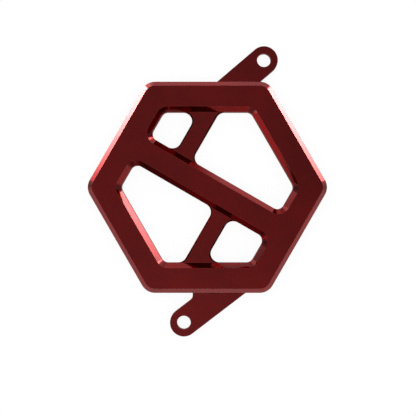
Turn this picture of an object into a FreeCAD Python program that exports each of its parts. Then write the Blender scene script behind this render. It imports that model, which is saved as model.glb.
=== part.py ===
"""Electric motor cover, milled in one piece from aluminium plate.

A hexagonal rim stands proud with a diagonal spine across it, both with a wide bevel on every front edge.
Two lower webs join the spine to the rim, and two thinner ears reach out from under the rim to the bolts.
The back is flat. Millimetres. The origin is on the back face at the hexagon's centre, +Z out of the front.
"""

import FreeCAD, Part

import math
import os

from FreeCAD import Vector

# Plate and bevels
PLATE_T = 11.0  # back face to the front of the rim and the spine
OUTER_BEVEL = 2.7  # 45 degree bevel round the outside of the rim
BEVEL_W = 2.9  # steeper bevel round both openings, as wide as this seen from the front
BEVEL_H = 4.6  # and this high
WEB_BEVEL = 0.8  # 45 degree bevel along the webs
BACK_BREAK = 0.3  # 45 degree break on every back edge

# Rim, a hexagon with flat sides at its top and bottom
ACROSS_FLATS = 128.5  # over the foot of the outer bevel
RIM_CORNER_R = 9.1
RIM_FACE_W = 12.6  # flat front face between the two bevels
OPENING_CORNER_R = 4.5

# Spine, from the upper left side of the rim to its lower right side
SPINE_FACE_W = 12.8
SPINE_ANGLE = -30.0  # degrees from +X

# Webs, square to the spine, each placed by its share of the way along it from the centre to the rim
WEB_W = 11.1
UPPER_WEB_SHARE = -0.48
LOWER_WEB_SHARE = 0.341
WEB_CORNER_R = 5.5

# Ears, each round about its bolt, which stands outside the rim's flat side by its reach
EAR_STEP = 1.4  # from the front of the webs down to the front of an ear
EAR_R = 8.5
BOLT_HOLE_D = 8.4
EAR_ROOT_R = 1.1  # fillet where the front of an ear meets the rim
STEP_SHARE = 0.95  # most of the step that this fillet may fill
UPPER_BOLT_X = 34.6
UPPER_BOLT_REACH = 13.65
UPPER_ROOT_SHARE = 0.995  # how far along the rim's flat side the upper arm's right side comes down to it
LOWER_BOLT_X = -14.4
LOWER_BOLT_REACH = 18.5
LOWER_ARM_ANGLE = 217.4  # degrees from +X, from the rim out to the bolt
SHOULDER_X = -9.0  # upright side where the lower ear widens before it meets the rim
SHOULDER_R = 3.5

# Worked out from the values above
WALL_T = PLATE_T - BEVEL_H  # upright wall under the openings' bevel, and the thickness of the webs
EAR_T = WALL_T - EAR_STEP
RIM_APOTHEM = ACROSS_FLATS / 2
OPENING_APOTHEM = RIM_APOTHEM - OUTER_BEVEL - RIM_FACE_W - BEVEL_W
SPINE_W = SPINE_FACE_W + 2 * BEVEL_W
INSIDE_RIM = (RIM_APOTHEM + OPENING_APOTHEM) / 2  # where what joins the rim ends, buried in it
FLAT_END_X = (RIM_APOTHEM - RIM_CORNER_R) * math.tan(math.radians(30))  # where the rim's corners start

CENTRE = Vector(0, 0, 0)
UP = Vector(0, 0, 1)
NEAR = 0.001  # two points closer than this are the same


def facing(angle):
    """Unit vector in the plate's plane, in degrees from +X."""
    return Vector(math.cos(math.radians(angle)), math.sin(math.radians(angle)), 0)


def corners(sides, grow):
    """(point, radius) corners of a ring of sides, counterclockwise, with every side moved out by grow.

    A side is the angle it faces, its distance from the centre and the radius of the corner it ends in,
    which is None where the corner stays sharp.
    """
    ring = []
    for (angle, distance, radius), (next_angle, next_distance, _) in zip(sides, sides[1:] + sides[:1]):
        normal, next_normal = facing(angle), facing(next_angle)
        out, next_out = distance + grow, next_distance + grow
        turn = normal.cross(next_normal).z
        x = (out * next_normal.y - next_out * normal.y) / turn
        y = (next_out * normal.x - out * next_normal.x) / turn
        ring.append((Vector(x, y, 0), 0 if radius is None else radius + math.copysign(grow, turn * grow)))
    return ring


def outline(ring, z):
    """Closed wire at height z through (point, radius) corners, each rounded by its own radius."""
    bends = []
    for i, (point, radius) in enumerate(ring):
        before = (ring[i - 1][0] - point).normalize()
        after = (ring[(i + 1) % len(ring)][0] - point).normalize()
        half = before.getAngle(after) / 2
        inward = (before + after).normalize()
        middle = point + inward * (radius / math.sin(half) - radius)
        run = radius / math.tan(half)
        bends.append([p + UP * z for p in (point + before * run, middle, point + after * run)])
    edges = []
    for i, (start, middle, end) in enumerate(bends):
        last = bends[i - 1][2]
        if last.distanceToPoint(start) > NEAR:
            edges.append(Part.LineSegment(last, start).toShape())
        if start.distanceToPoint(end) > NEAR:
            edges.append(Part.Arc(start, middle, end).toShape())
    return Part.Wire(edges)


def stack(sides, *levels):
    """Solid inside a ring of sides that stand out by grow at each of these (grow, height) levels."""
    return Part.makeLoft([outline(corners(sides, grow), z) for grow, z in levels], True, True)


def half_turned(solid):
    return solid.rotated(CENTRE, UP, 180)


def hexagon(apothem, corner_r):
    return [(angle, apothem, corner_r) for angle in range(-30, 330, 60)]


def upper_opening():
    """Sides of the opening between the rim and the upper side of the spine, at the foot of the bevel."""
    rim_sides = hexagon(OPENING_APOTHEM, OPENING_CORNER_R)[:4]
    return rim_sides + [(SPINE_ANGLE - 90, -SPINE_W / 2, OPENING_CORNER_R)]


def upper_windows(web_share):
    """Sides of the two windows that a web makes of the upper opening, with wider corners beside it."""
    lower_right, upper_right, top, upper_left, spine = upper_opening()
    top_to_web, spine_to_web = (side[:2] + (WEB_CORNER_R,) for side in (top, spine))
    web_at = web_share * OPENING_APOTHEM
    right_of_web = (SPINE_ANGLE + 180, -web_at - WEB_W / 2, WEB_CORNER_R)
    left_of_web = (SPINE_ANGLE, web_at - WEB_W / 2, WEB_CORNER_R)
    return [
        [lower_right, upper_right, top_to_web, right_of_web, spine],
        [top, upper_left, spine_to_web, left_of_web],
    ]


def rim_and_spine():
    """Bevelled hexagonal plate with an opening on each side of the spine."""
    rim = hexagon(RIM_APOTHEM, RIM_CORNER_R)
    plate = stack(rim, (-BACK_BREAK, 0), (0, BACK_BREAK), (0, PLATE_T - OUTER_BEVEL), (-OUTER_BEVEL, PLATE_T))
    upper = stack(upper_opening(), (BACK_BREAK, 0), (0, BACK_BREAK), (0, WALL_T), (BEVEL_W, PLATE_T))
    return plate.cut([upper, half_turned(upper)])


def webs():
    """Low plate buried in the rim and the spine, which shows only as the webs between the windows."""
    levels = (BACK_BREAK, 0), (0, BACK_BREAK), (0, WALL_T - WEB_BEVEL), (WEB_BEVEL, WALL_T)
    windows = [stack(sides, *levels) for sides in upper_windows(UPPER_WEB_SHARE)]
    windows += [half_turned(stack(sides, *levels)) for sides in upper_windows(-LOWER_WEB_SHARE)]
    return stack(hexagon(INSIDE_RIM, None), (0, 0), (0, WALL_T)).cut(windows)


def ear_section():
    """Slab across the upper side of the rim, as thick as an ear, with the fillet that meets the rim."""
    r = min(EAR_ROOT_R, STEP_SHARE * EAR_STEP)
    half_way = r * (1 - math.sqrt(0.5))
    outer, far, top = RIM_APOTHEM + r, 2 * ACROSS_FLATS, EAR_T + r
    profile = [(outer, EAR_T), (RIM_APOTHEM + half_way, EAR_T + half_way), (RIM_APOTHEM, top)]
    profile += [(INSIDE_RIM, top), (INSIDE_RIM, 0), (far, 0), (far, EAR_T)]
    points = [Vector(-far, y, z) for y, z in profile]
    edges = [Part.LineSegment(a, b).toShape() for a, b in zip(points[2:], points[3:] + points[:1])]
    return Part.Face(Part.Wire([Part.Arc(*points[:3]).toShape()] + edges)).extrude(Vector(2 * far, 0, 0))


def arm(bolt, angle):
    """Sides of an arm that runs in from its round end about the bolt: right side, end, left side."""
    out, left = facing(angle), facing(angle + 90)
    return [
        (angle - 90, EAR_R - bolt.dot(left), EAR_R),
        (angle, EAR_R + bolt.dot(out), EAR_R),
        (angle + 90, EAR_R + bolt.dot(left), None),
    ]


def upper_arm_angle(bolt):
    """Angle at which the arm's right side runs down to the rim's flat side just before its end."""
    run = bolt - Vector(UPPER_ROOT_SHARE * FLAT_END_X, RIM_APOTHEM, 0)
    return math.degrees(math.atan2(run.y, run.x) - math.asin(EAR_R / run.Length))


def ears(upper_bolt, lower_bolt):
    """Ears that run in under the rim, the lower one with a shoulder."""
    levels = (-BACK_BREAK, 0), (0, BACK_BREAK), (0, WALL_T)
    upper = arm(upper_bolt, upper_arm_angle(upper_bolt)) + [(270, -INSIDE_RIM, None)]
    lower = arm(lower_bolt, LOWER_ARM_ANGLE) + [(90, -INSIDE_RIM, None), (180, -SHOULDER_X, SHOULDER_R)]
    section = ear_section()
    return [stack(upper, *levels).common(section), stack(lower, *levels).common(half_turned(section))]


def bolt_hole(bolt):
    """Tool for a bolt hole and the break round its back end."""
    r = BOLT_HOLE_D / 2
    return Part.makeCylinder(r, PLATE_T, bolt).fuse(Part.makeCone(r + BACK_BREAK, r, BACK_BREAK, bolt))


def motor_cover():
    upper_bolt = Vector(UPPER_BOLT_X, RIM_APOTHEM + UPPER_BOLT_REACH, 0)
    lower_bolt = Vector(LOWER_BOLT_X, -RIM_APOTHEM - LOWER_BOLT_REACH, 0)
    body = rim_and_spine().fuse([webs()] + ears(upper_bolt, lower_bolt))
    return body.cut([bolt_hole(upper_bolt), bolt_hole(lower_bolt)]).removeSplitter()


cover = motor_cover()
os.makedirs("parts", exist_ok=True)
cover.exportStep("parts/motor_cover.step")
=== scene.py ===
"""Electric motor cover in red anodised aluminium on a white floor, seen from straight above."""

import math

import bpy
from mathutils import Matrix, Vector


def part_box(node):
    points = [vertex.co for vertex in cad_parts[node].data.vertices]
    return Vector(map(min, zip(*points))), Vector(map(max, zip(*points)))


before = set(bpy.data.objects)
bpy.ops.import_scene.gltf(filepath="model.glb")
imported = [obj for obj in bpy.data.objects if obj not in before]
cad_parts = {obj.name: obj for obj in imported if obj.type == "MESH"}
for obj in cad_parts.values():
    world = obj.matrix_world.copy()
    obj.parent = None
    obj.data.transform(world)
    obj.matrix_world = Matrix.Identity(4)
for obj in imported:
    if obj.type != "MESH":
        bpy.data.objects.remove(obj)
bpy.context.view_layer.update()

WHITE = (1, 1, 1, 1)
HALF_TURN = 180  # degrees

# Camera, straight above the face and a little below the middle of the rim
FACE_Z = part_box("motor_cover")[1][2]
CAMERA_X = 0.00038
CAMERA_Y = -0.0126
CAMERA_HEIGHT = 0.575
LENS_MM = 82.17
SENSOR_MM = 36
CLIP_START = 0.01

# Floor: what it shows the camera in full shade, where 1 is white, and the grey that takes the light
FLOOR_Z = -0.0002
FLOOR_R = 3.0
FLOOR_SIDES = 96
FLOOR_GLOW = 0.92
FLOOR_GREY = (0.12, 0.12, 0.12, 1)

# Dye where it is deep, where it is light and where it has rubbed thin on an edge
DYE_DEEP = (0.088, 0.0003, 0.0003, 1)
DYE_LIGHT = (0.13, 0.0009, 0.0009, 1)
DYE_THIN = (0.19, 0.03, 0.028, 1)
METAL_TINT = (1, 0.1, 0.1, 1)  # of the metal where it is seen at a low angle
THIN_WHEN_WORN = 0.6  # how far the dye thins on a worn edge
THIN_IN_HAIRLINE = 0.1  # and in a hairline

# Thin clear seal over the dye, which carries the crisp pale reflections
SEAL_WEIGHT = 0.25
SEAL_ROUGHNESS = 0.02
SEAL_IOR = 1.5

# Patterns of the surface: cycles per metre along each axis, detail and seed
GRAIN = ((4200, 4200, 4200), 2.0, 0)
SPECKLE = ((1300, 1300, 1300), 1.0, 3)
PATCHES = ((160, 160, 160), 3.0, 11)
CLOUD = ((28, 28, 28), 2.0, 19)
CUTTER = ((110, 2300, 110), 2.0, 5)
CUTTER_RUN = -30  # degrees from +X

# Hairlines: (angle in degrees, seed) of each set, and the cycles of the lines and of the patches
HAIRLINES = ((17, 1.5), (68, 4.2), (-41, 8.8))
HAIRLINE_CYCLES = (40, 2600, 40)
HAIRLINE_PATCH_CYCLES = (30, 30, 30)
HAIRLINE_PATCH_SEED = 7  # added to the seed of the set

# Where a pattern starts to show and where it shows in full
TONE_STEP = (0.38, 0.62)
HAIRLINE_STEP = (0.7, 0.77)
HAIRLINE_PATCH_STEP = (0.53, 0.68)
WEAR_STEP = (0.998, 0.95)  # in the cosine between the surface and the rounded edge
WEAR_PATCH_STEP = (0.3, 0.6)
WEAR_R = 0.0005
WEAR_SAMPLES = 6

# How much of each pattern goes into the dye's tone, the roughness and the height
TONE = {"cloud": 0.3, "patches": 0.1, "speckle": 0.25, "grain": 0.2, "cutter": 0.15}
ROUGHENING = {"grain": 0.05, "cutter": 0.03, "cloud": 0.03, "hair": 0.06, "worn": 0.06}
RELIEF = {"cutter": 0.5, "speckle": 0.6, "hair": -0.7}  # beside the grain in full
LEAST_ROUGHNESS = 0.165  # before any pattern adds to it, and about 0.22 on most of the metal
GRAIN_DEPTH = 0.000004

# Radiance of the studio by elevation in degrees, the same all round
STUDIO = (
    (-90, 0.32), (-46, 0.24), (-38, 2.4), (-31, 2), (-28, 0.12), (-23.5, 0.08), (-21.5, 0.68),
    (-17, 0.72), (-10.2, 0.64), (-9, 2.96), (-4.7, 3.4), (-4, 0.4), (4, 0.16), (16, 0.4),
    (30, 0.8), (60, 0.8), (90, 0.75),
)

# Soft boxes and dark gaps: azimuth from +X, half width and soft edge, elevation, half height and
# soft edge, all in degrees, and the radiance that each adds
SOFT_BOXES = (
    (37.5, 8, 5, -7, 3, 0.6, 54),
    (35, 6, 4, -19, 5, 3, 19.6),
    (49, 12, 1.2, -26, 6, 2.5, 1.5),
    (139.9, 9.1, 3.8, -7, 3, 0.6, 58.4),
    (118, 8, 14, -7, 3, 0.6, 6.4),
    (135, 11, 12, -21, 6, 3, 2.5),
    (85, 25, 15, -24, 7, 3, 0.9),
    (330, 12, 10, -23, 7, 3, 0.75),
    (208, 8, 10, -20, 3, 2, 0.25),
    (208, 14, 8, -17, 2.2, 0.8, 5.2),
    (90, 20, 12, -17, 2.2, 0.8, 2.7),
    (270, 12, 8, -16, 2, 0.8, 2.6),
    (329, 10, 6, -17, 2.2, 0.8, 1.4),
    (292, 12, 8, -20, 3, 2, -0.4),
    (172, 8, 14, -20, 4, 2, -0.4),
    (70, 7, 1.5, -32, 8, 3, -2.2),
    (227.5, 9.5, 1.5, -34, 6, 3, -2.2),
    (0, 6, 16, -7, 6, 4, -1.45),
    (172, 8, 12, -7, 6, 4, -1.6),
    (250, 50, 60, 72, 9, 10, 0.75),
    (15, 40, 60, 75, 8, 8, -0.3),
)


def new_material(name):
    material = bpy.data.materials.new(name)
    material.use_nodes = True
    material.node_tree.nodes.clear()
    return material


class Nodes:
    """Short way to add nodes to a tree and link them."""

    def __init__(self, tree):
        self.tree = tree

    def add(self, kind, inputs=None, **settings):
        node = self.tree.nodes.new(kind)
        for name, value in settings.items():
            setattr(node, name, value)
        for socket, value in (inputs or {}).items():
            self.put(node.inputs[socket], value)
        return node

    def put(self, socket, value):
        if isinstance(value, bpy.types.NodeSocket):
            self.tree.links.new(value, socket)
        else:
            socket.default_value = value

    def math(self, operation, *values):
        node = self.add("ShaderNodeMath", dict(enumerate(values)), operation=operation)
        return node.outputs[0]

    def vector(self, operation, *values):
        return self.add("ShaderNodeVectorMath", dict(enumerate(values)), operation=operation)

    def smooth(self, value, start, end):
        """0 before start and 1 after end, with a smooth step between."""
        node = self.add(
            "ShaderNodeMapRange",
            {"Value": value, "From Min": start, "From Max": end},
            interpolation_type="SMOOTHSTEP",
        )
        return node.outputs["Result"]

    def blend(self, share, first, second):
        """Colour between two colours."""
        node = self.add("ShaderNodeMix", data_type="RGBA")
        sockets = {socket.identifier: socket for socket in (*node.inputs, *node.outputs)}
        self.put(sockets["Factor_Float"], share)
        self.put(sockets["A_Color"], first)
        self.put(sockets["B_Color"], second)
        return sockets["Result_Color"]

    def weigh(self, start, patterns, weights):
        """Start plus each pattern times its weight."""
        total = start
        for name, weight in weights.items():
            total = self.math("MULTIPLY_ADD", patterns[name], weight, total)
        return total


def ramp(nodes, value, points):
    """Value of a curve through (position, value) points."""
    lowest, highest = points[0][0], points[-1][0]
    span = {"Value": value, "From Min": lowest, "From Max": highest}
    place = nodes.add("ShaderNodeMapRange", span).outputs["Result"]
    node = nodes.add("ShaderNodeValToRGB", {"Fac": place})
    elements = node.color_ramp.elements
    while len(elements) < len(points):
        elements.new(0.5)
    for element, (position, level) in zip(elements, points):
        element.position = (position - lowest) / (highest - lowest)
        element.color = (level, level, level, 1)
    return node.outputs["Color"]


def soft_box(nodes, azimuth, elevation, radiance, box):
    """Radiance with what one soft box or dark gap adds to it."""
    side, half_width, side_edge, height, half_height, edge, added = box
    turn = nodes.math("WRAP", nodes.math("SUBTRACT", azimuth, side), HALF_TURN, -HALF_TURN)
    off_side = nodes.math("ABSOLUTE", turn)
    across = nodes.smooth(off_side, half_width + side_edge, half_width - side_edge)
    off_height = nodes.math("ABSOLUTE", nodes.math("SUBTRACT", elevation, height))
    along = nodes.smooth(off_height, half_height + edge, half_height - edge)
    return nodes.math("MULTIPLY_ADD", nodes.math("MULTIPLY", across, along), added, radiance)


def build_world():
    """Studio seen by the metal, with a plain white backdrop for the camera."""
    world = bpy.data.worlds.new("studio")
    bpy.context.scene.world = world
    world.use_nodes = True
    world.node_tree.nodes.clear()
    nodes = Nodes(world.node_tree)
    direction = nodes.add("ShaderNodeTexCoord").outputs["Generated"]
    x, y, z = nodes.add("ShaderNodeSeparateXYZ", {"Vector": direction}).outputs
    elevation = nodes.math("DEGREES", nodes.math("ARCSINE", z))
    azimuth = nodes.math("DEGREES", nodes.math("ARCTAN2", y, x))
    radiance = ramp(nodes, elevation, STUDIO)
    for box in SOFT_BOXES:
        radiance = soft_box(nodes, azimuth, elevation, radiance, box)
    radiance = nodes.math("MAXIMUM", radiance, 0)
    studio = nodes.add("ShaderNodeBackground", {"Color": WHITE, "Strength": radiance})
    backdrop = nodes.add("ShaderNodeBackground", {"Color": WHITE, "Strength": 1.0})
    seen = nodes.add("ShaderNodeLightPath").outputs["Is Camera Ray"]
    shaders = {0: seen, 1: studio.outputs[0], 2: backdrop.outputs[0]}
    mixed = nodes.add("ShaderNodeMixShader", shaders)
    nodes.add("ShaderNodeOutputWorld", {"Surface": mixed.outputs[0]})


def build_floor():
    """White floor that the metal doesn't mirror and that is clear from below."""
    bpy.ops.mesh.primitive_circle_add(
        vertices=FLOOR_SIDES, radius=FLOOR_R, fill_type="NGON", location=(0, 0, FLOOR_Z)
    )
    floor = bpy.context.object
    floor.name = "floor"
    material = new_material("white_floor")
    nodes = Nodes(material.node_tree)
    paint = nodes.add("ShaderNodeBsdfDiffuse", {"Color": FLOOR_GREY})
    seen = nodes.add("ShaderNodeLightPath").outputs["Is Camera Ray"]
    level = nodes.math("MULTIPLY", seen, FLOOR_GLOW)
    glow = nodes.add("ShaderNodeEmission", {"Color": WHITE, "Strength": level})
    top = nodes.add("ShaderNodeAddShader", {0: paint.outputs[0], 1: glow.outputs[0]})
    below = nodes.add("ShaderNodeNewGeometry").outputs["Backfacing"]
    clear = nodes.add("ShaderNodeBsdfTransparent")
    surface = nodes.add("ShaderNodeMixShader", {0: below, 1: top.outputs[0], 2: clear.outputs[0]})
    nodes.add("ShaderNodeOutputMaterial", {"Surface": surface.outputs[0]})
    floor.data.materials.append(material)
    floor.visible_glossy = False


def noise(nodes, place, cycles, detail, seed):
    """Noise from 0 to 1, with this many cycles per metre along each axis."""
    scaled = nodes.vector("MULTIPLY", place, cycles).outputs[0]
    moved = nodes.vector("ADD", scaled, (seed, seed, seed)).outputs[0]
    node = nodes.add("ShaderNodeTexNoise", {"Vector": moved, "Scale": 1.0, "Detail": detail})
    return node.outputs["Fac"]


def turned(nodes, place, angle):
    """Place turned about +Z by an angle in degrees."""
    inputs = {"Vector": place, "Angle": math.radians(angle)}
    return nodes.add("ShaderNodeVectorRotate", inputs, rotation_type="Z_AXIS").outputs["Vector"]


def edge_wear(nodes, patches):
    """1 on the sharp edges where the dye has rubbed thin, 0 elsewhere."""
    rounded = nodes.add("ShaderNodeBevel", {"Radius": WEAR_R}, samples=WEAR_SAMPLES)
    normal = nodes.add("ShaderNodeNewGeometry").outputs["Normal"]
    cosine = nodes.vector("DOT_PRODUCT", rounded.outputs["Normal"], normal).outputs["Value"]
    edges = nodes.smooth(cosine, *WEAR_STEP)
    return nodes.math("MULTIPLY", edges, nodes.smooth(patches, *WEAR_PATCH_STEP))


def hairlines(nodes, place):
    """1 on a few fine scratches that run several ways, 0 elsewhere."""
    total = 0.0
    for angle, seed in HAIRLINES:
        line = noise(nodes, turned(nodes, place, angle), HAIRLINE_CYCLES, 0.0, seed)
        patch = noise(nodes, place, HAIRLINE_PATCH_CYCLES, 0.0, seed + HAIRLINE_PATCH_SEED)
        shown = nodes.smooth(patch, *HAIRLINE_PATCH_STEP)
        hair = nodes.math("MULTIPLY", nodes.smooth(line, *HAIRLINE_STEP), shown)
        total = nodes.math("MAXIMUM", total, hair)
    return total


def red_anodised():
    """Dark red anodised aluminium, cut and lightly blasted before the dye, under a clear seal."""
    material = new_material("red_anodised")
    nodes = Nodes(material.node_tree)
    place = nodes.add("ShaderNodeTexCoord").outputs["Object"]
    patterns = {
        "grain": noise(nodes, place, *GRAIN),
        "speckle": noise(nodes, place, *SPECKLE),
        "patches": noise(nodes, place, *PATCHES),
        "cloud": noise(nodes, place, *CLOUD),
        "cutter": noise(nodes, turned(nodes, place, -CUTTER_RUN), *CUTTER),
        "hair": hairlines(nodes, place),
    }
    patterns["worn"] = edge_wear(nodes, patterns["patches"])

    tone = nodes.weigh(0.0, patterns, TONE)
    dyed = nodes.blend(nodes.smooth(tone, *TONE_STEP), DYE_DEEP, DYE_LIGHT)
    on_edges = nodes.math("MULTIPLY", patterns["worn"], THIN_WHEN_WORN)
    in_hairlines = nodes.math("MULTIPLY", patterns["hair"], THIN_IN_HAIRLINE)
    rubbed = nodes.math("MAXIMUM", on_edges, in_hairlines)
    height = nodes.weigh(patterns["grain"], patterns, RELIEF)
    bump = nodes.add("ShaderNodeBump", {"Distance": GRAIN_DEPTH, "Height": height})
    shader = nodes.add("ShaderNodeBsdfPrincipled", {
        "Base Color": nodes.blend(rubbed, dyed, DYE_THIN),
        "Metallic": 1.0,
        "Roughness": nodes.weigh(LEAST_ROUGHNESS, patterns, ROUGHENING),
        "Specular Tint": METAL_TINT,
        "Coat Weight": SEAL_WEIGHT,
        "Coat Roughness": SEAL_ROUGHNESS,
        "Coat IOR": SEAL_IOR,
        "Normal": bump.outputs["Normal"],
    })
    nodes.add("ShaderNodeOutputMaterial", {"Surface": shader.outputs[0]})
    return material


def build_camera():
    data = bpy.data.cameras.new("camera")
    data.lens = LENS_MM
    data.sensor_width = SENSOR_MM
    data.clip_start = CLIP_START
    camera = bpy.data.objects.new("camera", data)
    camera.location = (CAMERA_X, CAMERA_Y, FACE_Z + CAMERA_HEIGHT)
    bpy.context.scene.collection.objects.link(camera)
    bpy.context.scene.camera = camera


build_camera()
build_world()
build_floor()
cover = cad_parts["motor_cover"]
cover.data.materials.clear()
cover.data.materials.append(red_anodised())
bpy.context.scene.view_settings.view_transform = "Standard"
